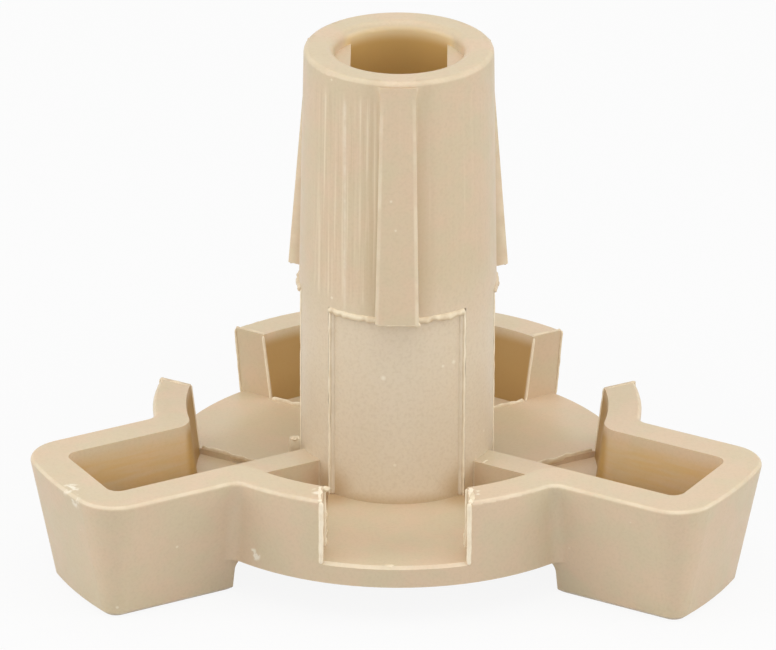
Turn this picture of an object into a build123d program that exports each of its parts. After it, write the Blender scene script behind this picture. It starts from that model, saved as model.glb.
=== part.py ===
from build123d import *
import os
from math import radians, tan

os.makedirs("parts", exist_ok=True)

# Driving dimensions, in millimetres and degrees.
# The coupler stands on its three feet with the hub tube up: foot plane at Z = 0, hub on the Z axis.

# Three-fold layout: one opening faces -Y, and the arms lie midway between the openings
sectors = 3
opening_angle = -90.0

# Hub tube
hub_height = 33.0  # foot plane to the mouth
hub_mouth_radius = 6.0
hub_shank_radius = 6.3  # below the keys
hub_edge_round = 0.35

# Double-D bore for the motor spindle, with its flats at +X and -X
bore_radius = 4.1
bore_across_flats = 6.1
bore_floor = 5.0  # height of its blind end
bore_ledge_depth = 0.95  # from the mouth down to the ledges of the flats
bore_mouth_round = 0.55

# Tapered keys on the hub, one above each opening
key_foot = 17.05  # height of their undercut ends
key_foot_radius = 7.32
key_foot_width = 2.75
key_head_radius = 6.05
key_head_width = 2.2

# Plate and rim wall
rim_top = 8.4
rim_radius = 15.7
rim_wall = 2.15
rim_draft = 5.5
plate_underside = 2.5
plate_floor = 3.6
hollow_draft = 7.5  # inside the rim wall and the pockets

# Arms, hollow from above, with feet below the plate
arm_tip_radius = 24.85
arm_width = 11.2
arm_wall = 2.3
arm_end_wall = 2.5
arm_draft = 11.0
arm_corner_round = 2.7
arm_throat_round = 0.9  # outside, between an arm and the rim wall
pocket_throat_round = 1.4  # inside, between a pocket and the rim wall
pocket_corner_round = 0.85
top_edge_round = 0.25
foot_floor = 2.2  # thickness of a foot's closed end
foot_heel_inset = 1.5  # the feet start this far inside the rim's radius
foot_heel_round = 0.9  # between the plate and a heel
foot_heel_edge_round = 0.55
foot_edge_chamfer = 0.3

# Stiffening webs from the hub along the arms
web_thickness = 2.0
web_top = 6.1

# Openings left by the three slide cores: a notch in the rim and a shallow window in the hub
opening_floor = 4.0
opening_hub_width = 8.5  # at the hub axis
opening_rim_width = 9.16  # at the rim's outside
opening_edge_chamfer = 0.2  # along the front edge of its floor
window_radius = 6.06

# Derived sizes
arm_angle = opening_angle + 180.0 / sectors
rim_inner_radius = rim_radius - rim_wall
arm_root = rim_inner_radius - rim_wall / 2
pocket_tip = arm_tip_radius - arm_end_wall
pocket_width = arm_width - 2 * arm_wall
pocket_inset = (rim_top - plate_floor) * tan(radians(hollow_draft))
foot_heel_radius = rim_radius - foot_heel_inset
slot_root = foot_heel_radius + arm_wall
slot_tip = pocket_tip - pocket_inset
slot_width = (pocket_width - web_thickness) / 2 - pocket_inset
slot_across = (web_thickness + slot_width) / 2
slot_corner_round = pocket_corner_round - pocket_inset
hub_wall_middle = (bore_radius + hub_mouth_radius) / 2
key_head = hub_height - hub_edge_round


def level(height, angle=arm_angle):
    """A horizontal plane at a height, with its X axis along an arm or at another angle."""
    return Plane((0, 0, height), x_dir=Vector(1, 0, 0).rotate(Axis.Z, angle), z_dir=(0, 0, 1))


def outward_rectangle(start, end, width):
    """A rectangle in plan that runs outwards along X from start to end."""
    with Locations((start, 0)):
        Rectangle(end - start, width, align=(Align.MIN, Align.CENTER))


def opening_outline():
    """The plan of the slide cores: wedges from the hub axis out past the rim."""
    flare = (opening_rim_width - opening_hub_width) / rim_radius
    reach = rim_radius + rim_wall
    inner = opening_hub_width / 2
    outer = inner + flare * reach / 2
    with PolarLocations(0, sectors, start_angle=180.0 / sectors):
        Polygon((0, -inner), (reach, -outer), (reach, outer), (0, inner), align=None)


def mouth_edges(part):
    """The edges of a part's topmost face, from the shortest to the longest."""
    return part.faces().sort_by(Axis.Z)[-1].edges().sort_by(SortBy.LENGTH)


with BuildPart() as arm:
    # One arm along X, drafted down to the foot plane
    with BuildSketch(Plane.XY.offset(rim_top)) as arm_plan:
        outward_rectangle(arm_root, arm_tip_radius + arm_corner_round, arm_width)
        Circle(arm_tip_radius, mode=Mode.INTERSECT)
        fillet(arm_plan.vertices().group_by(SortBy.DISTANCE)[-1], arm_corner_round)
    extrude(amount=-rim_top)
    draft(arm.faces().filter_by(Axis.Z, reverse=True), Plane.XY.offset(rim_top), -arm_draft)
    chamfer(arm.faces().sort_by(Axis.Z)[0].edges(), foot_edge_chamfer)

    # Recess under the plate that leaves the foot standing, with a rounded heel
    with BuildSketch(Plane.XZ) as recess:
        Rectangle(foot_heel_radius, plate_underside, align=(Align.MIN, Align.MIN))
        fillet(recess.vertices().group_by(SortBy.DISTANCE)[-1], foot_heel_round)
    extrude(amount=arm_width, both=True, mode=Mode.SUBTRACT)
    fillet(arm.edges().group_by(Axis.Z)[0].sort_by(Axis.X)[0], foot_heel_edge_round)

with BuildPart() as core:
    # The mould's core inside the rim and the arms, drafted down to the plate
    with BuildSketch(level(rim_top)) as core_plan:
        Circle(rim_inner_radius)
        with PolarLocations(0, sectors):
            outward_rectangle(0, pocket_tip, pocket_width)
        fillet(core_plan.vertices().group_by(SortBy.DISTANCE)[-1], pocket_corner_round)
        fillet(core_plan.vertices().group_by(SortBy.DISTANCE)[0], pocket_throat_round)
    extrude(amount=plate_floor - rim_top)
    draft(core.faces().filter_by(Axis.Z, reverse=True), Plane.XY.offset(rim_top), -hollow_draft)

with BuildPart() as coupler:
    # Plate with its rim wall, drafted towards the underside
    with BuildSketch(Plane.XY.offset(rim_top)):
        Circle(rim_radius)
    extrude(amount=plate_underside - rim_top, taper=rim_draft)

    # Arms, with rounded throats where they leave the rim
    with PolarLocations(0, sectors, start_angle=arm_angle):
        add(arm.part)
    fillet(coupler.edges().filter_by(lambda e: e.is_interior).group_by(Axis.Z)[-1], arm_throat_round)
    fillet(coupler.faces().sort_by(Axis.Z)[-1].edges(), top_edge_round)

    # Hollow inside the rim and the arms
    add(core.part, mode=Mode.SUBTRACT)

    # Raised floors of the slide cores' openings
    with BuildSketch(level(plate_floor)):
        opening_outline()
        Circle(rim_inner_radius, mode=Mode.INTERSECT)
    extrude(amount=opening_floor - plate_floor)

    # Slots that core out the feet on both sides of the webs
    with BuildSketch(level(plate_floor)) as slots:
        with PolarLocations(0, sectors):
            with Locations((0, slot_across), (0, -slot_across)):
                outward_rectangle(slot_root, slot_tip, slot_width)
        fillet(slots.vertices().group_by(SortBy.DISTANCE)[-1], slot_corner_round)
    extrude(amount=foot_floor - plate_floor, mode=Mode.SUBTRACT)

    # Webs along the arms, from the hub into the arms' end walls
    with BuildSketch(level(plate_floor)):
        with PolarLocations(0, sectors):
            outward_rectangle(hub_wall_middle, pocket_tip + arm_end_wall / 2, web_thickness)
    extrude(amount=web_top - plate_floor)

    # Hub tube, drafted above the keys' undercut
    with BuildSketch(Plane.XZ):
        Polygon(
            (0, plate_underside),
            (hub_shank_radius, plate_underside),
            (hub_shank_radius, key_foot),
            (hub_mouth_radius, hub_height),
            (0, hub_height),
            align=None,
        )
    revolve(axis=Axis.Z)

    # Slide-core openings, from the notch floor up to the keys' undercut
    with BuildSketch(level(opening_floor)):
        opening_outline()
        Circle(window_radius, mode=Mode.SUBTRACT)
    extrude(amount=key_foot - opening_floor, mode=Mode.SUBTRACT)
    floor_edges = coupler.edges().filter_by_position(Axis.Z, opening_floor, opening_floor)
    chamfer(floor_edges.group_by(SortBy.DISTANCE)[-1], opening_edge_chamfer)

    # Bore, round down to the ledges of its flats, and the rounded edges of the mouth
    with BuildSketch(Plane.XY.offset(hub_height)):
        Circle(bore_radius)
    extrude(amount=-bore_ledge_depth, mode=Mode.SUBTRACT)
    with BuildSketch(Plane.XY.offset(hub_height)):
        Circle(bore_radius)
        Rectangle(bore_across_flats, 2 * bore_radius, mode=Mode.INTERSECT)
    extrude(amount=bore_floor - hub_height, mode=Mode.SUBTRACT)
    fillet(mouth_edges(coupler)[0], bore_mouth_round)
    fillet(mouth_edges(coupler)[-1], hub_edge_round)

    # Keys, from their wide undercut ends up to the mouth's round
    for turn in range(sectors):
        key_angle = opening_angle + turn * 360.0 / sectors
        with BuildSketch(level(key_foot, key_angle)):
            outward_rectangle(hub_wall_middle, key_foot_radius, key_foot_width)
        with BuildSketch(level(key_head, key_angle)):
            outward_rectangle(hub_wall_middle, key_head_radius, key_head_width)
        loft()

coupler.part.label = "turntable_coupler"
export_step(coupler.part, "parts/turntable_coupler.step")
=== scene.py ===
import functools
import logging
import math
import operator
from dataclasses import dataclass
from enum import Enum
from typing import Any, Callable, Iterable, Union

import bpy
from mathutils import Matrix, Vector


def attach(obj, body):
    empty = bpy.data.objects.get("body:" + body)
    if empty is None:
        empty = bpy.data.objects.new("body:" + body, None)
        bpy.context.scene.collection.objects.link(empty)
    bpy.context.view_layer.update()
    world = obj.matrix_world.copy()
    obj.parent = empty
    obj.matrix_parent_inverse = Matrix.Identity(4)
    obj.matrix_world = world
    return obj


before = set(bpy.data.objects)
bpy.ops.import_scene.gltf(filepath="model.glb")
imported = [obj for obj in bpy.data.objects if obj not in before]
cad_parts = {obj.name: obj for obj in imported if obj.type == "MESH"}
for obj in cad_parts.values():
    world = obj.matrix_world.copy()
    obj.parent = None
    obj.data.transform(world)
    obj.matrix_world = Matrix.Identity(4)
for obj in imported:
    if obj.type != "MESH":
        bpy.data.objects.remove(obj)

LOG = logging.getLogger("coupler")
MM = 0.001
NODE = "turntable_coupler"
BODY = "root"

Colour = tuple[float, float, float, float]
Feed = Union["Value", float, tuple[float, ...], bpy.types.NodeSocket]
Rule = Callable[[Vector], bool]
Span = tuple[float, float]
Triple = tuple[float, float, float]
Made = tuple[str, bpy.types.Object, bpy.types.Material, bpy.types.Material]


class Sector(Enum):
    """The two slide-core openings at the back, by their turn from the front one in degrees."""

    BACK_RIGHT = 120.0
    BACK_LEFT = 240.0


class Side(Enum):
    """The two sides of an opening, by the sign of their place across it."""

    LEFT = -1
    RIGHT = 1


@dataclass(frozen=True)
class Mould:
    """Sizes of the moulded solid that the looks and the flash follow, in millimetres and degrees."""

    opening_bearing: float = -90.0
    arm_bearing: float = -30.0
    key_foot: float = 17.05
    key_half_width: float = 1.375
    key_taper: float = 0.0176  # loss of half width for each millimetre up
    key_radius: float = 7.32
    key_lean: float = 0.0814  # loss of radius for each millimetre up
    rim_top: float = 8.4
    rim_draft: float = 5.5
    hollow_draft: float = 7.5
    opening_floor: float = 4.0


MOULD = Mould()


@dataclass(frozen=True)
class Spot:
    """A small place on the coupler: its middle and how far a mark on it reaches, in millimetres."""

    x: float
    y: float
    z: float
    reach: float


def everywhere(place: Vector) -> bool:
    """Rule that picks every vertex."""
    return True


def srgb(red: int, green: int, blue: int) -> Colour:
    """Turn an 8-bit display colour into a linear one.

    Args:
        red: red from 0 to 255.
        green: green from 0 to 255.
        blue: blue from 0 to 255.

    Returns:
        The linear colour with an alpha of 1.
    """
    parts = [channel / 255 for channel in (red, green, blue)]
    linear = [p / 12.92 if p <= 0.04045 else ((p + 0.055) / 1.055) ** 2.4 for p in parts]
    return (*linear, 1.0)


class Graph:
    """A node tree, with one way to add any node."""

    def __init__(self, owner: Union[bpy.types.Material, bpy.types.World]) -> None:
        """Start an empty tree.

        Args:
            owner: the material or world that the nodes belong to.
        """
        owner.use_nodes = True
        self.tree = owner.node_tree
        self.tree.nodes.clear()

    def node(
        self, kind: str, settings: dict[str, Any], feeds: dict[Union[str, int], Feed]
    ) -> bpy.types.Node:
        """Add a node, set it up and feed its sockets.

        Args:
            kind: the node's type name.
            settings: properties that are set first.
            feeds: values or links by socket name or number.

        Returns:
            The new node.
        """
        made = self.tree.nodes.new(kind)
        for name, setting in settings.items():
            setattr(made, name, setting)
        for socket, feed in feeds.items():
            self.feed(made.inputs[socket], feed)
        return made

    def feed(self, socket: bpy.types.NodeSocket, feed: Feed) -> None:
        """Link a socket, or set its value.

        Args:
            socket: the input to feed.
            feed: a wrapped or bare output, or a constant.
        """
        if isinstance(feed, Value):
            self.tree.links.new(feed.socket, socket)
        elif isinstance(feed, bpy.types.NodeSocket):
            self.tree.links.new(feed, socket)
        else:
            socket.default_value = feed

    def value(self, node: bpy.types.Node, output: Union[str, int] = 0) -> "Value":
        """Wrap a node's output for use in expressions."""
        return Value(self, node.outputs[output])

    def math(self, operation: str, *feeds: Feed) -> "Value":
        """Add a Math node.

        Args:
            operation: the node's operation.
            feeds: its operands in order.

        Returns:
            The wrapped result.
        """
        made = self.node("ShaderNodeMath", {"operation": operation}, dict(enumerate(feeds)))
        return self.value(made)

    def blend(self, factor: Feed, first: Feed, second: Feed) -> bpy.types.NodeSocket:
        """Mix two colours.

        Args:
            factor: 0 gives the first colour and 1 the second.
            first: a colour or a link.
            second: a colour or a link.

        Returns:
            The mixed colour's socket.
        """
        feeds = {"Factor": factor, 6: first, 7: second}
        return self.node("ShaderNodeMix", {"data_type": "RGBA"}, feeds).outputs[2]

    def noise(self, place: Feed, scale: float, detail: float) -> "Value":
        """Add a noise texture.

        Args:
            place: the coordinates that it reads.
            scale: its grains for each unit of them.
            detail: its octaves.

        Returns:
            The noise, from 0 to 1 and mostly near a half.
        """
        feeds = {"Vector": place, "Scale": scale, "Detail": detail}
        return self.value(self.node("ShaderNodeTexNoise", {}, feeds))


class Value:
    """A number in a material, with Python's operators as Math nodes."""

    def __init__(self, graph: Graph, socket: bpy.types.NodeSocket) -> None:
        """Wrap an output.

        Args:
            graph: the tree that it belongs to.
            socket: the output socket.
        """
        self.graph = graph
        self.socket = socket

    def __add__(self, other: Feed) -> "Value":
        """Sum of the two."""
        return self.graph.math("ADD", self, other)

    __radd__ = __add__

    def __sub__(self, other: Feed) -> "Value":
        """This less the other."""
        return self.graph.math("SUBTRACT", self, other)

    def __rsub__(self, other: Feed) -> "Value":
        """The other less this."""
        return self.graph.math("SUBTRACT", other, self)

    def __mul__(self, other: Feed) -> "Value":
        """Product of the two."""
        return self.graph.math("MULTIPLY", self, other)

    __rmul__ = __mul__

    def __truediv__(self, other: Feed) -> "Value":
        """This over the other."""
        return self.graph.math("DIVIDE", self, other)

    def __rtruediv__(self, other: Feed) -> "Value":
        """The other over this."""
        return self.graph.math("DIVIDE", other, self)

    def __abs__(self) -> "Value":
        """Distance from zero."""
        return self.graph.math("ABSOLUTE", self)

    def __or__(self, other: Feed) -> "Value":
        """The larger of the two, for masks that join."""
        return self.graph.math("MAXIMUM", self, other)

    def ramp(self, low: float, high: float) -> "Value":
        """Smooth step from 0 to 1 between two values.

        Args:
            low: where it leaves 0.
            high: where it reaches 1; below low, the step falls instead.

        Returns:
            The step.
        """
        first, last = min(low, high), max(low, high)
        settings = {"interpolation_type": "SMOOTHSTEP"}
        step = self.graph.node("ShaderNodeMapRange", settings, {0: self, 1: first, 2: last})
        result = self.graph.value(step)
        return result if high > low else 1 - result

    def band(self, low: float, high: float, soft: float) -> "Value":
        """Mask of the values between two limits.

        Args:
            low: the lower limit.
            high: the upper limit.
            soft: the width of the step at each limit.

        Returns:
            The mask, 1 between the limits.
        """
        return self.ramp(low - soft, low) * self.ramp(high + soft, high)


class Place:
    """Where a point of the coupler lies, in millimetres, from its Object coordinates."""

    def __init__(self, graph: Graph) -> None:
        """Add the nodes that work it out.

        Args:
            graph: the material's tree.
        """
        self.graph = graph
        coordinates = graph.node("ShaderNodeTexCoord", {}, {})
        self.point = coordinates.outputs["Object"]
        parts = graph.node("ShaderNodeSeparateXYZ", {}, {0: self.point})
        self.x, self.y, self.z = (graph.value(parts, axis) / MM for axis in range(3))
        normal = graph.node("ShaderNodeSeparateXYZ", {}, {0: coordinates.outputs["Normal"]})
        self.rise = graph.value(normal, 2)
        self.radius = self.length(self.x, self.y)
        self.bearing = graph.math("ARCTAN2", self.y, self.x)

    def length(self, *sides: Value) -> Value:
        """Length of a straight line from its extents along the axes."""
        squares = (side * side for side in sides)
        return self.graph.math("SQRT", functools.reduce(operator.add, squares))

    def folded(self, centre: float) -> tuple[Value, Value]:
        """Fold the three sectors onto one.

        Args:
            centre: the direction of one sector's middle, in degrees.

        Returns:
            The distance out along the middle, and the distance to either side of it.
        """
        half = math.pi / 3
        turn = self.graph.math("WRAP", self.bearing - math.radians(centre), half, -half)
        out = self.radius * self.graph.math("COSINE", turn)
        return out, abs(self.radius * self.graph.math("SINE", turn))

    def spots(self, spots: Iterable[Spot]) -> Value:
        """Soft mask around some small places.

        Args:
            spots: the places.

        Returns:
            The mask, 1 at the middle of each.
        """
        masks = []
        for spot in spots:
            away = self.length(self.x - spot.x, self.y - spot.y, self.z - spot.z)
            masks.append(away.ramp(spot.reach, 0.0))
        return functools.reduce(operator.or_, masks)


@dataclass(frozen=True)
class BeigePlastic:
    """Satin beige plastic as it leaves the mould, with draw lines, pale painted highlights on its edges,
    painted shade and glow in its hollows, and small scuffs.

    A span holds where a mask leaves 0 and where it reaches 1, or the limits of a band. Spans of places
    are in millimetres, those of rise in the upward part of the surface's normal, and the others in a
    texture's own values.
    """

    name: str = "beige_plastic"
    cool: Colour = srgb(207, 190, 159)
    warm: Colour = srgb(213, 189, 160)
    # paler matt tone of the shank, partly painted light on the shaded lower hub
    matt: Colour = srgb(222, 207, 183)
    # ochre is painted shade for the hollows, the corners and the hub's foot
    ochre_shade: Colour = srgb(174, 135, 69)
    # amber is warm painted shade deep in the bore and in the pockets
    amber_shade: Colour = srgb(208, 168, 96)
    # honey is a painted glow near the bore's top
    honey_glow: Colour = srgb(242, 219, 173)
    # pale colours the draw lines and also the painted edge highlights
    pale: Colour = srgb(234, 220, 194)
    white: Colour = srgb(242, 234, 216)
    dark: Colour = srgb(190, 168, 136)

    # Mottle, grain, gloss and depth
    mottle_scale: float = 380.0
    mottle_span: Span = (0.35, 0.65)
    grain_scale: float = 5200.0
    grain_span: Span = (0.62, 0.2)
    gloss_scale: float = 900.0
    roughness: float = 0.44
    roughness_spread: float = 0.25
    bump_strength: float = 0.18
    bump_depth: float = 0.04 * MM
    grain_relief: float = 0.5
    line_relief: float = 0.5
    translucency: float = 0.1
    scatter_depth: float = 0.6 * MM
    scatter_tint: Triple = (1.0, 0.6, 0.3)

    # How far each layer covers the ones below it
    matt_and_fill_cover: float = 0.9
    grain_cover: float = 0.24
    valley_cover: float = 0.4
    hollow_shade_cover: float = 0.85
    glow_cover: float = 0.9
    dark_line_cover: float = 0.5
    pale_line_cover: float = 0.6
    edge_highlight_cover: float = 0.42

    # Draw lines down the hub, strongest on a worn strip at the front left
    line_scale: float = 27.0
    line_stretch: float = 0.004
    line_radii: Span = (5.7, 6.5)
    line_heights: Span = (18.5, 31.0)
    line_strength: float = 0.35
    dark_line_span: Span = (0.5, 0.2)
    pale_line_span: Span = (0.5, 0.8)
    worn_across: Span = (-4.9, -1.6)
    worn_front: Span = (0.0, -1.0)
    worn_strength: float = 0.75

    # Matt shank below the keys, also painted lighter, more so towards the bottom, against the shade of the
    # rim and arms
    window_radius: Span = (6.12, 6.08)
    window_top: Span = (17.1, 16.9)
    shank_fade: Span = (21.0, 13.0)
    shank_radius: Span = (6.45, 6.38)
    shank_rise: Span = (0.6, 0.3)

    # Painted shade in hollows: the rim's inner wall, the notch's cheeks, the hub's foot and the plate
    upright_rise: Span = (0.8, 0.5)
    beside_arm: Span = (2.6, 3.2)
    beside_opening: Span = (4.52, 4.62)
    wall_radii: Span = (12.6, 13.65)
    wall_fall: Span = (MOULD.rim_top, 7.5)
    cheek_across: Span = (4.4, 4.7)
    cheek_out: Span = (12.2, 15.2)
    cheek_foot: Span = (3.9, 4.1)
    cheek_depth: float = 0.12
    corner_across: float = 4.3
    corner_out: float = 5.0
    corner_height: float = 4.4
    corner_reach: Span = (2.3, 0.2)
    corner_depth: float = 0.6
    level_rise: Span = (0.85, 0.95)
    plate_heights: Span = (3.5, 4.1)
    plate_radius: Span = (13.0, 11.0)
    plate_behind: Span = (-8.0, -4.0)
    plate_depth: float = 0.17
    foot_radius: Span = (6.25, 6.12)
    foot_heights: Span = (4.9, MOULD.opening_floor)
    foot_depth: float = 0.5

    # Painted glow near the bore's top and warm painted shade deeper in the bore and, in uneven layers, in
    # the pockets
    honey_heights: Span = (31.6, 32.6)
    bore_radius: Span = (4.6, 4.25)
    bore_top: Span = (32.9, 32.4)
    bore_rise: Span = (0.75, 0.35)
    bore_across: Span = (3.7, 3.1)
    pocket_across: Span = (3.7, 3.2)
    pocket_start: Span = (10.5, 14.0)
    pocket_end: Span = (22.6, 22.3)
    pocket_fall: Span = (8.35, 6.9)
    layer_scale: float = 3.0
    layer_stretch: float = 0.1
    layer_span: Span = (0.3, 0.7)
    layer_least: float = 0.42
    layer_spread: float = 0.3

    # Painted highlights on the edges: rounds and the keys' arrises; and the shaded valleys beside the keys
    mouth_radius: Span = (4.9, 5.4)
    mouth_share: float = 0.45
    rim_radius: Span = (6.2, 6.6)
    round_rise: Span = (0.35, 0.88)
    arris_beside: Span = (-0.16, 0.04)
    arris_beyond: Span = (-0.8, -0.1)
    arris_heights: Span = (17.0, 30.5)
    arris_share: float = 1.25
    ragged_scale: float = 700.0
    ragged_span: Span = (0.3, 0.7)
    ragged_least: float = 0.4
    ragged_spread: float = 0.8
    valley_side: Span = (-0.02, 0.06)
    valley_fade: Span = (1.4, 0.1)
    valley_beyond: Span = (-0.1, -0.4)
    valley_foot: Span = (17.0, 17.1)
    valley_radius: Span = (5.4, 5.7)

    # Specks, one long scratch, dots and scuffs
    speck_scale: float = 520.0
    speck_size: Span = (0.07, 0.03)
    speck_choice: Span = (0.66, 0.68)
    speck_cover: float = 0.45
    scratch_x: float = -3.32
    scratch_width: Span = (0.13, 0.02)
    scratch_front: Span = (-4.0, -4.6)
    scratch_heights: Span = (17.6, 31.0)
    scratch_least: float = 0.5
    scratch_cover: float = 0.35
    dots: tuple[Spot, ...] = (
        Spot(-0.84, -6.0, 12.8, 0.26),
        Spot(3.6, -4.88, 13.45, 0.22),
        Spot(2.92, -5.31, 13.35, 0.16),
    )
    dot_cover: float = 0.7
    scuffs: tuple[Spot, ...] = (
        Spot(-20.3, -13.3, 8.4, 0.9),
        Spot(-19.7, -14.3, 8.2, 1.0),
        Spot(-8.96, -12.53, 3.4, 0.7),
        Spot(-4.8, -13.5, 8.4, 0.75),
        Spot(4.9, -13.5, 8.4, 0.75),
    )
    scuff_scale: float = 1500.0
    scuff_span: Span = (0.38, 0.62)
    scuff_edge: Span = (0.1, 0.5)
    scuff_cover: float = 0.8

    def material(self) -> bpy.types.Material:
        """Build the material.

        Returns:
            The new material.
        """
        material = bpy.data.materials.new(self.name)
        graph = Graph(material)
        place = Place(graph)
        streaks = self._streaks(place)
        grain = graph.noise(place.point, self.grain_scale, detail=2.0)
        relief = {
            "Strength": self.bump_strength,
            "Distance": self.bump_depth,
            "Height": grain * self.grain_relief + streaks * self.line_relief,
        }
        bump = graph.node("ShaderNodeBump", {}, relief)
        gloss = graph.noise(place.point, self.gloss_scale, detail=3.0) - 0.5
        feeds = {
            "Base Color": self._colour(place, streaks, grain),
            "Roughness": self.roughness + gloss * self.roughness_spread,
            "Normal": bump.outputs[0],
            "Subsurface Weight": self.translucency,
            "Subsurface Radius": self.scatter_tint,
            "Subsurface Scale": self.scatter_depth,
        }
        shader = graph.node("ShaderNodeBsdfPrincipled", {}, feeds)
        graph.node("ShaderNodeOutputMaterial", {}, {"Surface": shader.outputs[0]})
        return material

    def _colour(self, place: Place, streaks: Value, grain: Value) -> bpy.types.NodeSocket:
        """Lay the colours over each other.

        Args:
            place: where the point lies.
            streaks: the draw lines on the hub.
            grain: the fine grain.

        Returns:
            The base colour's socket.
        """
        graph = place.graph
        mottle = graph.noise(place.point, self.mottle_scale, detail=3.0)
        colour = graph.blend(mottle.ramp(*self.mottle_span), self.cool, self.warm)
        # matt shank, partly painted light against the shade low on the hub
        colour = graph.blend(self._shank_matt_and_fill(place) * self.matt_and_fill_cover, colour, self.matt)
        colour = graph.blend(grain.ramp(*self.grain_span) * self.grain_cover, colour, self.dark)
        colour = graph.blend(self._valleys(place) * self.valley_cover, colour, self.dark)
        # painted shade: ochre where little light reaches
        colour = graph.blend(self._hollow_shade(place) * self.hollow_shade_cover, colour, self.ochre_shade)
        # painted glow and warm painted shade in the bore and the pockets
        glow = graph.blend(place.z.ramp(*self.honey_heights), self.amber_shade, self.honey_glow)
        colour = graph.blend(self._glow(place) * self.glow_cover, colour, glow)
        colour = graph.blend(streaks.ramp(*self.dark_line_span) * self.dark_line_cover, colour, self.dark)
        colour = graph.blend(streaks.ramp(*self.pale_line_span) * self.pale_line_cover, colour, self.pale)
        # painted highlights along the rounded edges and the keys' arrises
        colour = graph.blend(self._edge_highlights(place) * self.edge_highlight_cover, colour, self.pale)
        return graph.blend(self._marks(place), colour, self.white)

    def _streaks(self, place: Place) -> Value:
        """Draw lines down the hub, strongest at the front left.

        Args:
            place: where the point lies.

        Returns:
            The lines, a half where there are none.
        """
        graph = place.graph
        feeds = {0: place.x / place.radius, 1: place.y / place.radius, 2: place.z * self.line_stretch}
        around = graph.node("ShaderNodeCombineXYZ", {}, feeds)
        lines = graph.noise(around.outputs[0], self.line_scale, detail=3.0) - 0.5
        hub = place.radius.band(*self.line_radii, soft=0.1) * place.z.band(*self.line_heights, soft=1.5)
        worn = place.x.band(*self.worn_across, soft=0.6) * place.y.ramp(*self.worn_front)
        return 0.5 + lines * hub * (self.line_strength + self.worn_strength * worn)

    def _shank_matt_and_fill(self, place: Place) -> Value:
        """Mask of the hub below the keys: matt from the slide cores, and also painted light that lifts the
        shade of the rim and arms, more so towards the bottom.

        Args:
            place: where the point lies.

        Returns:
            The mask.
        """
        window = place.radius.ramp(*self.window_radius) * place.z.ramp(*self.window_top)
        tube = place.radius.ramp(*self.shank_radius) * abs(place.rise).ramp(*self.shank_rise)
        return (window | place.z.ramp(*self.shank_fade)) * tube

    def _hollow_shade(self, place: Place) -> Value:
        """Mask of painted shade on the rim's inner wall and on other places that little light reaches.

        Args:
            place: where the point lies.

        Returns:
            The mask.
        """
        out, across = place.folded(MOULD.opening_bearing)
        across_arm = place.folded(MOULD.arm_bearing)[1]
        upright = abs(place.rise).ramp(*self.upright_rise)
        beside = across_arm.ramp(*self.beside_arm) * across.ramp(*self.beside_opening)
        wall = place.radius.band(*self.wall_radii, soft=0.5) * place.z.ramp(*self.wall_fall)
        cheek = across.band(*self.cheek_across, soft=0.08) * out.band(*self.cheek_out, soft=0.3)
        cheek = cheek * place.z.ramp(*self.cheek_foot) * upright
        gaps = (across - self.corner_across, out - self.corner_out, place.z - self.corner_height)
        corner = place.length(*gaps).ramp(*self.corner_reach)
        level = place.rise.ramp(*self.level_rise) * place.z.band(*self.plate_heights, soft=0.1)
        plate = level * place.radius.ramp(*self.plate_radius) * place.y.ramp(*self.plate_behind)
        foot = place.radius.ramp(*self.foot_radius) * place.z.ramp(*self.foot_heights) * upright
        # the depths set how strong the painted shade is at the cheeks, corners, plate (only behind the hub)
        # and foot
        shallow = cheek * self.cheek_depth | corner * self.corner_depth
        shallow = shallow | plate * self.plate_depth | foot * self.foot_depth
        return wall * beside * upright | shallow

    def _glow(self, place: Place) -> Value:
        """Mask of the bore and the pockets, painted with warm shade deep down and a painted glow near the
        bore's top, standing in for light that comes back through the plastic.

        Args:
            place: where the point lies.

        Returns:
            The mask.
        """
        graph = place.graph
        along, across = place.folded(MOULD.arm_bearing)
        bore = place.radius.ramp(*self.bore_radius) * place.z.ramp(*self.bore_top)
        bore = bore * abs(place.rise).ramp(*self.bore_rise) * abs(place.x).ramp(*self.bore_across)
        pocket = across.ramp(*self.pocket_across) * place.z.ramp(*self.pocket_fall)
        pocket = pocket * along.ramp(*self.pocket_start) * along.ramp(*self.pocket_end)
        feeds = {0: place.x * self.layer_stretch, 1: place.y * self.layer_stretch, 2: place.z}
        layers = graph.node("ShaderNodeCombineXYZ", {}, feeds)
        uneven = graph.noise(layers.outputs[0], self.layer_scale, detail=3.0).ramp(*self.layer_span)
        return bore | pocket * (self.layer_least + self.layer_spread * uneven)

    def _edge_highlights(self, place: Place) -> Value:
        """Mask of the painted highlights on the rounded upper edges and on the edges of the keys.

        Args:
            place: where the point lies.

        Returns:
            The mask.
        """
        share = self.mouth_share + (1 - self.mouth_share) * place.radius.ramp(*self.rim_radius)
        broad = place.radius.ramp(*self.mouth_radius) * share
        rounds = place.rise.band(*self.round_rise, soft=0.14) * broad
        beside, beyond = self._key(place)
        arris = beside.band(*self.arris_beside, soft=0.12) * beyond.ramp(*self.arris_beyond)
        arris = arris * place.z.band(*self.arris_heights, soft=1.8) * self.arris_share
        ragged = place.graph.noise(place.point, self.ragged_scale, detail=4.0).ramp(*self.ragged_span)
        return (rounds | arris) * (self.ragged_least + self.ragged_spread * ragged)

    def _key(self, place: Place) -> tuple[Value, Value]:
        """Measure a point against the nearest key.

        Args:
            place: where the point lies.

        Returns:
            How far it lies beyond the key's side and beyond its face, in millimetres.
        """
        out, across = place.folded(MOULD.opening_bearing)
        above = place.z - MOULD.key_foot
        half_width = MOULD.key_half_width - above * MOULD.key_taper
        face = MOULD.key_radius - above * MOULD.key_lean
        return across - half_width, out - face

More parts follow.
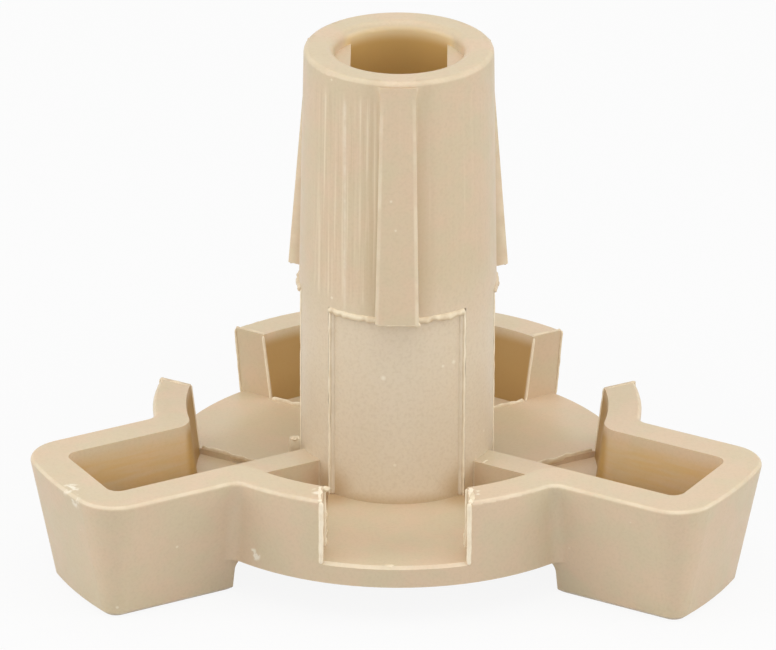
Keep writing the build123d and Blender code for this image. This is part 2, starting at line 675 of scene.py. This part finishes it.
    def _valleys(self, place: Place) -> Value:
        """Mask of the hub close beside the keys, which shade it.

        Args:
            place: where the point lies.

        Returns:
            The mask.
        """
        beside, beyond = self._key(place)
        close = beside.ramp(*self.valley_side) * beside.ramp(*self.valley_fade)
        hub = place.z.ramp(*self.valley_foot) * place.radius.ramp(*self.valley_radius)
        return close * beyond.ramp(*self.valley_beyond) * hub

    def _marks(self, place: Place) -> Value:
        """Mask of pale specks in the plastic, one long scratch, and the dots and scuffs of handling.

        Args:
            place: where the point lies.

        Returns:
            The mask.
        """
        graph = place.graph
        feeds = {"Vector": place.point, "Scale": self.speck_scale}
        cells = graph.node("ShaderNodeTexVoronoi", {}, feeds)
        colours = graph.node("ShaderNodeSeparateColor", {}, {0: cells.outputs["Color"]})
        chosen = graph.value(colours, 0).ramp(*self.speck_choice)
        specks = graph.value(cells, "Distance").ramp(*self.speck_size) * chosen
        ragged = graph.noise(place.point, self.scuff_scale, detail=3.0).ramp(*self.scuff_span)
        scratch = abs(place.x - self.scratch_x).ramp(*self.scratch_width)
        scratch = scratch * place.y.ramp(*self.scratch_front)
        uneven = self.scratch_least + (1 - self.scratch_least) * ragged
        scratch = scratch * place.z.band(*self.scratch_heights, soft=0.6) * uneven
        scuffs = (place.spots(self.scuffs) * ragged).ramp(*self.scuff_edge)
        small = specks * self.speck_cover | place.spots(self.dots) * self.dot_cover
        return small | scratch * self.scratch_cover | scuffs * self.scuff_cover


@dataclass(frozen=True)
class FlashPlastic:
    """Thin plastic that was squeezed into the mould's joints, paler the thinner it is."""

    name: str
    cream: Colour
    thick: Colour
    roughness: float = 0.5
    roughness_spread: float = 0.3
    cloud_scale: float = 1400.0
    cloud_span: Span = (0.68, 0.4)
    bump_strength: float = 0.2
    bump_depth: float = 0.05 * MM

    def material(self) -> bpy.types.Material:
        """Build the material.

        Returns:
            The new material.
        """
        material = bpy.data.materials.new(self.name)
        graph = Graph(material)
        place = Place(graph)
        cloudy = graph.noise(place.point, self.cloud_scale, detail=3.0)
        relief = {"Strength": self.bump_strength, "Distance": self.bump_depth, "Height": cloudy}
        bump = graph.node("ShaderNodeBump", {}, relief)
        feeds = {
            "Base Color": graph.blend(cloudy.ramp(*self.cloud_span), self.thick, self.cream),
            "Roughness": self.roughness + (cloudy - 0.5) * self.roughness_spread,
            "Normal": bump.outputs[0],
        }
        shader = graph.node("ShaderNodeBsdfPrincipled", {}, feeds)
        graph.node("ShaderNodeOutputMaterial", {}, {"Surface": shader.outputs[0]})
        return material


CREAM_FLASH = FlashPlastic("cream_flash", srgb(246, 233, 208), srgb(238, 222, 194))
PALE_FLASH = FlashPlastic("pale_flash", srgb(231, 216, 187), srgb(218, 198, 167))
MATT_FLASH = FlashPlastic("matt_flash", srgb(228, 213, 189), srgb(221, 205, 180))
BEIGE_FLASH = FlashPlastic("beige_flash", srgb(222, 204, 174), srgb(211, 190, 160))


class Bench:
    """Hand tools for one piece: pick, shape, roughen and finish."""

    ALONG = 0.9  # share of an edge's length that has to run along an axis
    WELD = 0.001 * MM  # vertices closer than this are joined

    @staticmethod
    def clear() -> None:
        """Leave edit mode and deselect everything."""
        if bpy.context.object and bpy.context.object.mode != "OBJECT":
            bpy.ops.object.mode_set(mode="OBJECT")
        bpy.ops.object.select_all(action="DESELECT")

    @staticmethod
    def take(piece: bpy.types.Object) -> None:
        """Make one piece the only selected and active one."""
        Bench.clear()
        piece.select_set(True)
        bpy.context.view_layer.objects.active = piece

    @staticmethod
    def pick(piece: bpy.types.Object, rule: Rule) -> None:
        """Go into edit mode with some vertices selected.

        Args:
            piece: the piece to work on.
            rule: says which places are picked, in metres.
        """
        bpy.ops.object.mode_set(mode="OBJECT")
        mesh = piece.data
        for vertex in mesh.vertices:
            vertex.select = rule(vertex.co)
        for edge in mesh.edges:
            edge.select = all(mesh.vertices[index].select for index in edge.vertices)
        for face in mesh.polygons:
            face.select = all(mesh.vertices[index].select for index in face.vertices)
        bpy.ops.object.mode_set(mode="EDIT")
        bpy.ops.mesh.select_mode(type="VERT")

    @staticmethod
    def pick_long_edges(piece: bpy.types.Object, axis: int) -> None:
        """Go into edit mode with the edges along one axis selected.

        Args:
            piece: the piece to work on.
            axis: the number of the axis.
        """
        bpy.ops.object.mode_set(mode="EDIT")
        bpy.ops.mesh.select_mode(type="EDGE")
        bpy.ops.mesh.select_all(action="DESELECT")
        bpy.ops.object.mode_set(mode="OBJECT")
        mesh = piece.data
        for edge in mesh.edges:
            run = mesh.vertices[edge.vertices[1]].co - mesh.vertices[edge.vertices[0]].co
            edge.select = abs(run[axis]) > Bench.ALONG * run.length
        bpy.ops.object.mode_set(mode="EDIT")

    @staticmethod
    def roughen(piece: bpy.types.Object, rule: Rule, amount: float, seed: int) -> None:
        """Shift some vertices about at random.

        Args:
            piece: the piece to work on.
            rule: says which places are shifted.
            amount: how far at most, in millimetres.
            seed: the seed of the shifts.
        """
        Bench.pick(piece, rule)
        bpy.ops.transform.vertex_random(offset=amount * MM, uniform=0.0, normal=0.0, seed=seed)
        bpy.ops.object.mode_set(mode="OBJECT")

    @staticmethod
    def finish(piece: bpy.types.Object, name: str, material: bpy.types.Material) -> None:
        """Round a piece off, close it, dress it and hang it on the coupler.

        Args:
            piece: the shaped piece, with its place in its mesh.
            name: its name.
            material: its finish.
        """
        Bench.pick(piece, everywhere)
        bpy.ops.mesh.remove_doubles(threshold=Bench.WELD)
        bpy.ops.mesh.normals_make_consistent(inside=False)
        bpy.ops.object.mode_set(mode="OBJECT")
        soften = piece.modifiers.new("soften", "SUBSURF")
        soften.levels = soften.render_levels = 1
        bpy.ops.object.modifier_apply(modifier=soften.name)
        bpy.ops.object.shade_smooth()
        piece.data.materials.clear()
        piece.data.materials.append(material)
        Bench.hang(piece, name)

    @staticmethod
    def hang(piece: bpy.types.Object, name: str) -> None:
        """Name a piece and let it ride on the coupler.

        Args:
            piece: the finished piece.
            name: its name.
        """
        piece.name = piece.data.name = name
        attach(piece, BODY)
        LOG.info("made %s, %d faces", name, len(piece.data.polygons))

    @staticmethod
    def copy_to(piece: bpy.types.Object, stem: str, sector: Sector, material: bpy.types.Material) -> None:
        """Copy a front piece to another opening, with its own mesh.

        Args:
            piece: the finished front piece.
            stem: the copy's name without its place.
            sector: the opening that it goes to.
            material: the copy's finish.
        """
        twin = piece.copy()
        twin.data = piece.data.copy()
        bpy.context.scene.collection.objects.link(twin)
        Bench.take(twin)
        twin.rotation_euler = (0, 0, math.radians(sector.value))
        bpy.ops.object.transform_apply(location=True, rotation=True, scale=True)
        twin.data.materials.clear()
        twin.data.materials.append(material)
        Bench.hang(twin, f"{stem}_{sector.name.lower()}")


@dataclass(frozen=True)
class UprightFin:
    """A fin up an edge of the opening, in millimetres, with its lean outwards at the top in degrees."""

    across: float
    out: float
    foot: float
    head: float
    width: float
    depth: float
    cuts: int
    shake: float
    seed: int
    lean: float = 0.0


@dataclass(frozen=True)
class LevelFin:
    """A fin that runs outwards beside the opening, in millimetres, with its flare in degrees."""

    across: float
    start: float
    end: float
    height: float
    width: float
    thickness: float
    cuts: int
    shake: float
    seed: int
    flare: float = 0.0
    rooted: bool = False  # only its upper edge is ragged


@dataclass
class MouldFlash:
    """Ragged fins along the joints of the three slide cores, modelled at the front opening."""

    cream: FlashPlastic = CREAM_FLASH
    pale: FlashPlastic = PALE_FLASH
    matt: FlashPlastic = MATT_FLASH
    beige: FlashPlastic = BEIGE_FLASH

    # Lips under the hub's edge, beside the key
    lip_height: float = 17.12
    lip_radius: float = 6.25
    lip_depth: float = 0.46
    lip_drop: float = 0.5
    lip_inner: float = 10.0
    lip_outer: float = 43.0
    lip_steps: int = 24
    lip_ragged: float = 0.3
    lip_ragged_seed: int = 5
    lip_shake: float = 0.06
    lip_shake_seed: int = 9

    # Lip under the key's undercut end
    key_lip_middle: Triple = (0, -7.2, 17.03)
    key_lip_size: Triple = (2.6, 0.26, 0.24)
    key_lip_cuts: int = 13
    key_lip_shake: float = 0.09
    key_lip_seed: int = 21

    # Strip that fills the step along an edge of the hub's window, and the thin fin on it
    window_web: UprightFin = UprightFin(
        across=4.07,
        out=4.51,
        foot=3.9,
        head=lip_height,
        width=0.42,
        depth=0.3,
        cuts=30,
        shake=0.03,
        seed=25,
    )
    window_fin: UprightFin = UprightFin(
        across=4.27,
        out=4.62,
        foot=3.9,
        head=16.9,
        width=0.15,
        depth=0.15,
        cuts=34,
        shake=0.06,
        seed=31,
    )

    # Fins up the outer and the inner edge of the notch in the rim
    notch_fin: UprightFin = UprightFin(
        across=4.64,
        out=14.98,
        foot=3.82,
        head=8.36,
        width=0.34,
        depth=0.2,
        cuts=14,
        shake=0.06,
        seed=41,
        lean=MOULD.rim_draft,
    )
    notch_inner_fin: UprightFin = UprightFin(
        across=4.46,
        out=12.8,
        foot=3.82,
        head=8.36,
        width=0.2,
        depth=0.14,
        cuts=14,
        shake=0.04,
        seed=51,
        lean=MOULD.hollow_draft,
    )

    # Ragged crumb along the top of a cheek of the notch, and ragged edge along the raised floor
    notch_top_fin: LevelFin = LevelFin(
        across=4.72,
        start=12.8,
        end=14.98,
        height=8.36,
        width=0.3,
        thickness=0.2,
        cuts=9,
        shake=0.12,
        seed=61,
    )
    floor_fin: LevelFin = LevelFin(
        across=4.42,
        start=6.1,
        end=12.1,
        height=MOULD.opening_floor,
        width=0.15,
        thickness=0.46,
        cuts=20,
        shake=0.2,
        seed=71,
        flare=1.2,
        rooted=True,
    )

    def build(self) -> None:
        """Model every fin at the front and copy it to the two openings at the back."""
        finishes = (self.cream, self.pale, self.matt, self.beige)
        cream, pale, matt, beige = (finish.material() for finish in finishes)
        made: list[Made] = [("key_lip", self._key_lip(), pale, pale)]
        for side in Side:
            tag = side.name.lower()
            made += [
                (f"window_lip_{tag}", self._lip(side), pale, beige),
                (f"window_web_{tag}", self._upright(self.window_web, side), matt, matt),
                (f"window_fin_{tag}", self._upright(self.window_fin, side), cream, cream),
                (f"notch_fin_{tag}", self._upright(self.notch_fin, side), cream, pale),
                (f"notch_inner_fin_{tag}", self._upright(self.notch_inner_fin, side), cream, cream),
                (f"notch_top_fin_{tag}", self._level(self.notch_top_fin, side), cream, beige),
                (f"floor_fin_{tag}", self._level(self.floor_fin, side), pale, pale),
            ]
        for stem, piece, front, back in made:
            Bench.take(piece)
            Bench.finish(piece, f"{stem}_front", front)
            for sector in Sector:
                Bench.copy_to(piece, stem, sector, back)

    def _bar(
        self, middle: Triple, size: Triple, cuts: int, turn: float = 0.0, lean: float = 0.0
    ) -> bpy.types.Object:
        """Start a straight fin: a bar cut across its longest side.

        Args:
            middle: its centre, in millimetres.
            size: its sides along X, Y and Z.
            cuts: how many cuts across it.
            turn: its turn about the vertical, in degrees.
            lean: its lean outwards at the top, in degrees.

        Returns:
            The bar, in object mode.
        """
        Bench.clear()
        bpy.ops.mesh.primitive_cube_add(size=1.0, location=(0, 0, 0))
        piece = bpy.context.object
        piece.scale = [side * MM for side in size]
        bpy.ops.object.transform_apply(location=True, rotation=True, scale=True)
        Bench.pick_long_edges(piece, max(range(3), key=lambda axis: size[axis]))
        bpy.ops.mesh.subdivide(number_cuts=cuts)
        bpy.ops.object.mode_set(mode="OBJECT")
        piece.location = [coordinate * MM for coordinate in middle]
        piece.rotation_euler = (math.radians(lean), 0, math.radians(turn))
        bpy.ops.object.transform_apply(location=True, rotation=True, scale=True)
        return piece

    def _lip(self, side: Side) -> bpy.types.Object:
        """Lip under the hub's edge at one side of the key, spun about the hub.

        Args:
            side: the side of the opening.

        Returns:
            The shaped piece.
        """
        Bench.clear()
        start = math.radians(side.value * self.lip_inner)
        sweep = -math.radians(side.value * (self.lip_outer - self.lip_inner))
        radius = self.lip_radius * MM
        middle = (self.lip_height - self.lip_drop / 2) * MM
        spot = (radius * math.sin(start), -radius * math.cos(start), middle)
        bpy.ops.mesh.primitive_plane_add(size=1.0, location=spot, rotation=(0, math.pi / 2, start))
        piece = bpy.context.object
        piece.scale = (self.lip_drop * MM, self.lip_depth * MM, 1.0)
        bpy.ops.object.transform_apply(location=True, rotation=True, scale=True)
        Bench.pick(piece, everywhere)
        bpy.ops.mesh.spin(steps=self.lip_steps, angle=sweep, center=(0, 0, 0), axis=(0, 0, 1))
        Bench.roughen(piece, lambda co: co.z < middle, self.lip_ragged, self.lip_ragged_seed + side.value)
        Bench.roughen(piece, everywhere, self.lip_shake, self.lip_shake_seed + side.value)
        return piece

    def _key_lip(self) -> bpy.types.Object:
        """Thin lip under the key's undercut end.

        Returns:
            The shaped piece.
        """
        piece = self._bar(self.key_lip_middle, self.key_lip_size, self.key_lip_cuts)
        Bench.roughen(piece, everywhere, self.key_lip_shake, self.key_lip_seed)
        return piece

    def _upright(self, fin: UprightFin, side: Side) -> bpy.types.Object:
        """Shape a fin up one edge of the opening.

        Args:
            fin: what it is like.
            side: the side of the opening.

        Returns:
            The shaped piece.
        """
        run = fin.head - fin.foot
        lean_in = run / 2 * math.tan(math.radians(fin.lean))
        middle = (side.value * fin.across, lean_in - fin.out, fin.foot + run / 2)
        piece = self._bar(middle, (fin.width, fin.depth, run), fin.cuts, lean=fin.lean)
        Bench.roughen(piece, everywhere, fin.shake, fin.seed + side.value)
        return piece

    def _level(self, fin: LevelFin, side: Side) -> bpy.types.Object:
        """Shape a fin that runs outwards at one side of the opening.

        Args:
            fin: what it is like.
            side: the side of the opening.

        Returns:
            The shaped piece.
        """
        run = fin.end - fin.start
        middle = (side.value * fin.across, -(fin.start + run / 2), fin.height)
        piece = self._bar(middle, (fin.width, run, fin.thickness), fin.cuts, turn=-side.value * fin.flare)
        ragged: Rule = (lambda co: co.z > fin.height * MM) if fin.rooted else everywhere
        Bench.roughen(piece, ragged, fin.shake, fin.seed + side.value)
        return piece


class Form(Enum):
    """What a bit of flash is shaped from."""

    BALL = "ball"
    BLOCK = "block"


@dataclass(frozen=True)
class Crumb:
    """One bit of flash, with its middle and its sides in millimetres and its turn in degrees."""

    name: str
    middle: Triple
    size: Triple
    turn: float = 0.0
    form: Form = Form.BALL


@dataclass
class Crumbs:
    """Small loose-edged bits of flash that stand at single places."""

    finish: FlashPlastic = PALE_FLASH
    shake: float = 0.35  # share of a bit's smallest side
    first_seed: int = 80
    bits: tuple[Crumb, ...] = (
        Crumb("crumb_floor_left", (-8.9, 0.05, 3.95), (0.24, 0.3, 0.55)),
        Crumb("post_hub_left", (-6.53, -1.25, 5.0), (0.78, 0.5, 2.9), turn=10.0, form=Form.BLOCK),
        Crumb("crumb_post_left", (-6.6, -1.35, 6.4), (0.6, 0.45, 0.26)),
        Crumb("flake_hub_foot_right", (5.63, -4.09, 6.12), (0.75, 0.16, 0.14), turn=54.0),
        Crumb("flake_floor_right", (6.59, 1.38, 4.04), (0.62, 0.18, 0.16), turn=-47.0),
        Crumb("crumb_key_right", (1.2, -7.2, 17.02), (0.7, 0.24, 0.36)),
        Crumb("crumb_notch_floor", (-0.35, -15.0, 3.95), (0.75, 0.3, 0.2)),
        Crumb("crumb_notch_left", (-4.35, -12.95, 8.3), (0.65, 0.4, 0.35)),
        Crumb("crumb_notch_right", (4.82, -14.1, 8.36), (0.42, 1.7, 0.26)),
        Crumb("crumb_back_floor_left", (-7.7, 12.6, 4.1), (0.5, 0.9, 0.35)),
        Crumb("crumb_back_floor_right", (7.1, 13.0, 4.2), (0.35, 0.8, 0.5)),
    )

    def build(self) -> None:
        """Shape each bit from a ball or a block and set it in its place."""
        material = self.finish.material()
        for seed, bit in enumerate(self.bits, start=self.first_seed):
            Bench.clear()
            piece = self._start(bit.form)
            piece.scale = [side * MM for side in bit.size]
            bpy.ops.object.transform_apply(location=True, rotation=True, scale=True)
            Bench.roughen(piece, everywhere, min(bit.size) * self.shake, seed)
            piece.location = [coordinate * MM for coordinate in bit.middle]
            piece.rotation_euler = (0, 0, math.radians(bit.turn))
            bpy.ops.object.transform_apply(location=True, rotation=True, scale=True)
            Bench.finish(piece, bit.name, material)

    @staticmethod
    def _start(form: Form) -> bpy.types.Object:
        """Add the ball or the block that a bit is shaped from.

        Args:
            form: which of the two.

        Returns:
            The new object, one metre across.
        """
        if form is Form.BALL:
            bpy.ops.mesh.primitive_ico_sphere_add(subdivisions=2, radius=0.5, location=(0, 0, 0))
            return bpy.context.object
        bpy.ops.mesh.primitive_cube_add(size=1.0, location=(0, 0, 0))
        piece = bpy.context.object
        Bench.pick(piece, everywhere)
        bpy.ops.mesh.subdivide(number_cuts=3)
        bpy.ops.object.mode_set(mode="OBJECT")
        return piece


@dataclass
class CouplerBody:
    """The moulded coupler itself, dressed where it stands."""

    finish: BeigePlastic = BeigePlastic()

    def dress(self) -> None:
        """Give the solid its plastic."""
        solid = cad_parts[NODE]
        solid.data.materials.clear()
        solid.data.materials.append(self.finish.material())
        LOG.info("dressed %s", solid.name)


@dataclass(frozen=True)
class Lamp:
    """A round soft lamp that points at the origin, in metres and watts."""

    name: str
    place: Triple
    size: float
    power: float


@dataclass
class Studio:
    """Pale floor, soft lights and the camera at the photograph's angle."""

    image_width: int = 776
    elevation: float = 24.159
    azimuth: float = 0.439
    roll: float = -0.249
    distance: float = 527.87 * MM
    focal_pixels: float = 8264.2
    aim_across: float = -0.612 * MM
    aim_height: float = 13.79 * MM
    sensor: float = 36.0
    floor_size: float = 4.0
    paper: Colour = (0.65, 0.65, 0.65, 1.0)
    white: Colour = (1.0, 1.0, 1.0, 1.0)
    backdrop_share: float = 0.9
    sky_strength: float = 0.52
    view_depth: float = 10.0
    lamps: tuple[Lamp, ...] = (
        Lamp("top_lamp", (0.0, -0.12, 0.6), size=0.7, power=1.75),
        Lamp("front_lamp", (0.0, -0.6, 0.28), size=0.5, power=0.74),
        Lamp("left_lamp", (-0.62, -0.12, 0.24), size=0.45, power=1.4),
        Lamp("right_lamp", (0.62, -0.12, 0.24), size=0.45, power=1.4),
    )

    def build(self) -> None:
        """Put up the whole studio."""
        self._floor()
        self._sky()
        self._lamps()
        self._camera()

    def _seen(self, graph: Graph) -> Value:
        """Mask of the rays that show the backdrop itself.

        Args:
            graph: the tree that asks.

        Returns:
            1 for camera, glossy and transmission rays.
        """
        rays = graph.node("ShaderNodeLightPath", {}, {})
        kinds = ("Camera", "Glossy", "Transmission")
        masks = (graph.value(rays, f"Is {kind} Ray") for kind in kinds)
        return functools.reduce(operator.or_, masks)

    def _floor(self) -> None:
        """Lay a white floor under the feet that keeps a faint shadow."""
        Bench.clear()
        bpy.ops.mesh.primitive_plane_add(size=self.floor_size, location=(0, 0, 0))
        floor = bpy.context.object
        floor.name = "studio_floor"
        material = bpy.data.materials.new("studio_floor")
        graph = Graph(material)
        paper = graph.node("ShaderNodeBsdfDiffuse", {}, {"Color": self.paper})
        glow = graph.node("ShaderNodeEmission", {}, {"Color": self.white, "Strength": 1.0})
        share = self._seen(graph) * self.backdrop_share
        mixed = graph.node("ShaderNodeMixShader", {}, {0: share, 1: paper.outputs[0], 2: glow.outputs[0]})
        graph.node("ShaderNodeOutputMaterial", {}, {"Surface": mixed.outputs[0]})
        floor.data.materials.append(material)
        LOG.info("laid %s", floor.name)

    def _sky(self) -> None:
        """Fill the studio with an even white light, and show white behind the floor."""
        world = bpy.data.worlds.new("studio_sky")
        bpy.context.scene.world = world
        graph = Graph(world)
        light = graph.node("ShaderNodeBackground", {}, {"Color": self.white, "Strength": self.sky_strength})
        shown = graph.node("ShaderNodeBackground", {}, {"Color": self.white, "Strength": 1.0})
        feeds = {0: self._seen(graph), 1: light.outputs[0], 2: shown.outputs[0]}
        mixed = graph.node("ShaderNodeMixShader", {}, feeds)
        graph.node("ShaderNodeOutputWorld", {}, {"Surface": mixed.outputs[0]})

    def _lamps(self) -> None:
        """Hang a broad lamp overhead, and softer ones at the front and the sides."""
        for lamp in self.lamps:
            Bench.clear()
            bpy.ops.object.light_add(type="AREA", location=lamp.place)
            light = bpy.context.object
            light.name = lamp.name
            light.data.shape = "DISK"
            light.data.size = lamp.size
            light.data.energy = lamp.power
            light.rotation_euler = (-light.location).to_track_quat("-Z", "Y").to_euler()

    def _camera(self) -> None:
        """Stand the camera where the photograph was taken from."""
        data = bpy.data.cameras.new("camera")
        data.sensor_fit = "HORIZONTAL"
        data.sensor_width = self.sensor
        data.lens = self.sensor * self.focal_pixels / self.image_width
        data.clip_end = self.view_depth
        camera = bpy.data.objects.new("camera", data)
        bpy.context.scene.collection.objects.link(camera)
        tilt = math.radians(self.elevation)
        turn = Matrix.Rotation(math.radians(self.azimuth), 4, "Z")
        right = turn @ Vector((1, 0, 0))
        ahead = turn @ Vector((0, math.cos(tilt), -math.sin(tilt)))
        up = right.cross(ahead)
        place = turn @ Vector((self.aim_across, 0, self.aim_height)) - ahead * self.distance
        lean = math.radians(self.roll)
        across = right * math.cos(lean) - up * math.sin(lean)
        upright = right * math.sin(lean) + up * math.cos(lean)
        axes = Matrix((across, upright, -ahead)).transposed().to_4x4()
        camera.matrix_world = Matrix.Translation(place) @ axes
        bpy.context.scene.camera = camera


def main() -> None:
    """Dress the coupler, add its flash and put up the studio."""
    logging.basicConfig(level=logging.INFO)
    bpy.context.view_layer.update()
    bpy.context.scene.view_settings.view_transform = "Standard"
    CouplerBody().dress()
    MouldFlash().build()
    Crumbs().build()
    Studio().build()


if __name__ == "__main__":
    main()
